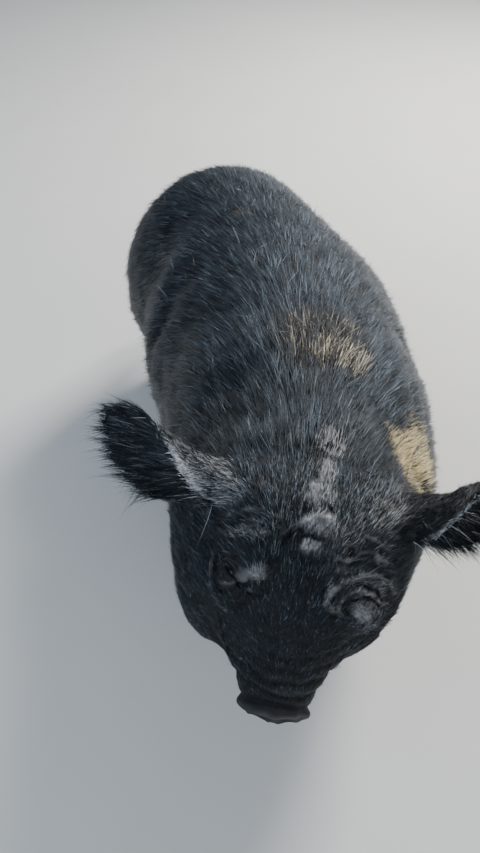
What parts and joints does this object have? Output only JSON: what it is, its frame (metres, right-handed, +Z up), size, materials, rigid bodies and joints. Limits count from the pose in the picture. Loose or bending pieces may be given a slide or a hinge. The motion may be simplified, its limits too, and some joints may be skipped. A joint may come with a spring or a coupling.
{
  "type": "standing black pot-bellied pig",
  "caption": "Life-size model of a stout, bristly black pig, standing with its body curved to its right and its head lowered and tipped to its left, ears held out.",
  "frame": {"origin": "on the ground, below the middle of the whole animal's bounding box", "axes": "+Z up, -Y the way the pig faces, +X its left side"},
  "size_m": [0.6532, 1.2426, 0.6108],
  "materials": {
    "coat": "long coarse bristles over dark skin",
    "bare_skin": "bare, wrinkled and slightly moist",
    "eye": "wet and glossy",
    "horn": "worn horn with fine growth rings"
  },
  "bodies": {
    "root": {"head": "coat", "jaw": "coat", "neck": "coat", "trunk": "coat", "tail": "coat", "ear_left": "coat", "ear_right": "coat", "front_left_leg": "coat", "front_right_leg": "coat", "hind_left_leg": "coat", "hind_right_leg": "coat", "snout": "bare_skin", "eye_left": "eye", "eye_right": "eye", "front_left_claw_inner": "horn", "front_left_claw_outer": "horn", "front_left_dewclaw_inner": "horn", "front_left_dewclaw_outer": "horn", "front_right_claw_inner": "horn", "front_right_claw_outer": "horn", "front_right_dewclaw_inner": "horn", "front_right_dewclaw_outer": "horn", "hind_left_claw_inner": "horn", "hind_left_claw_outer": "horn", "hind_left_dewclaw_inner": "horn", "hind_left_dewclaw_outer": "horn", "hind_right_claw_inner": "horn", "hind_right_claw_outer": "horn", "hind_right_dewclaw_inner": "horn", "hind_right_dewclaw_outer": "horn"}
  },
  "joints": []
}
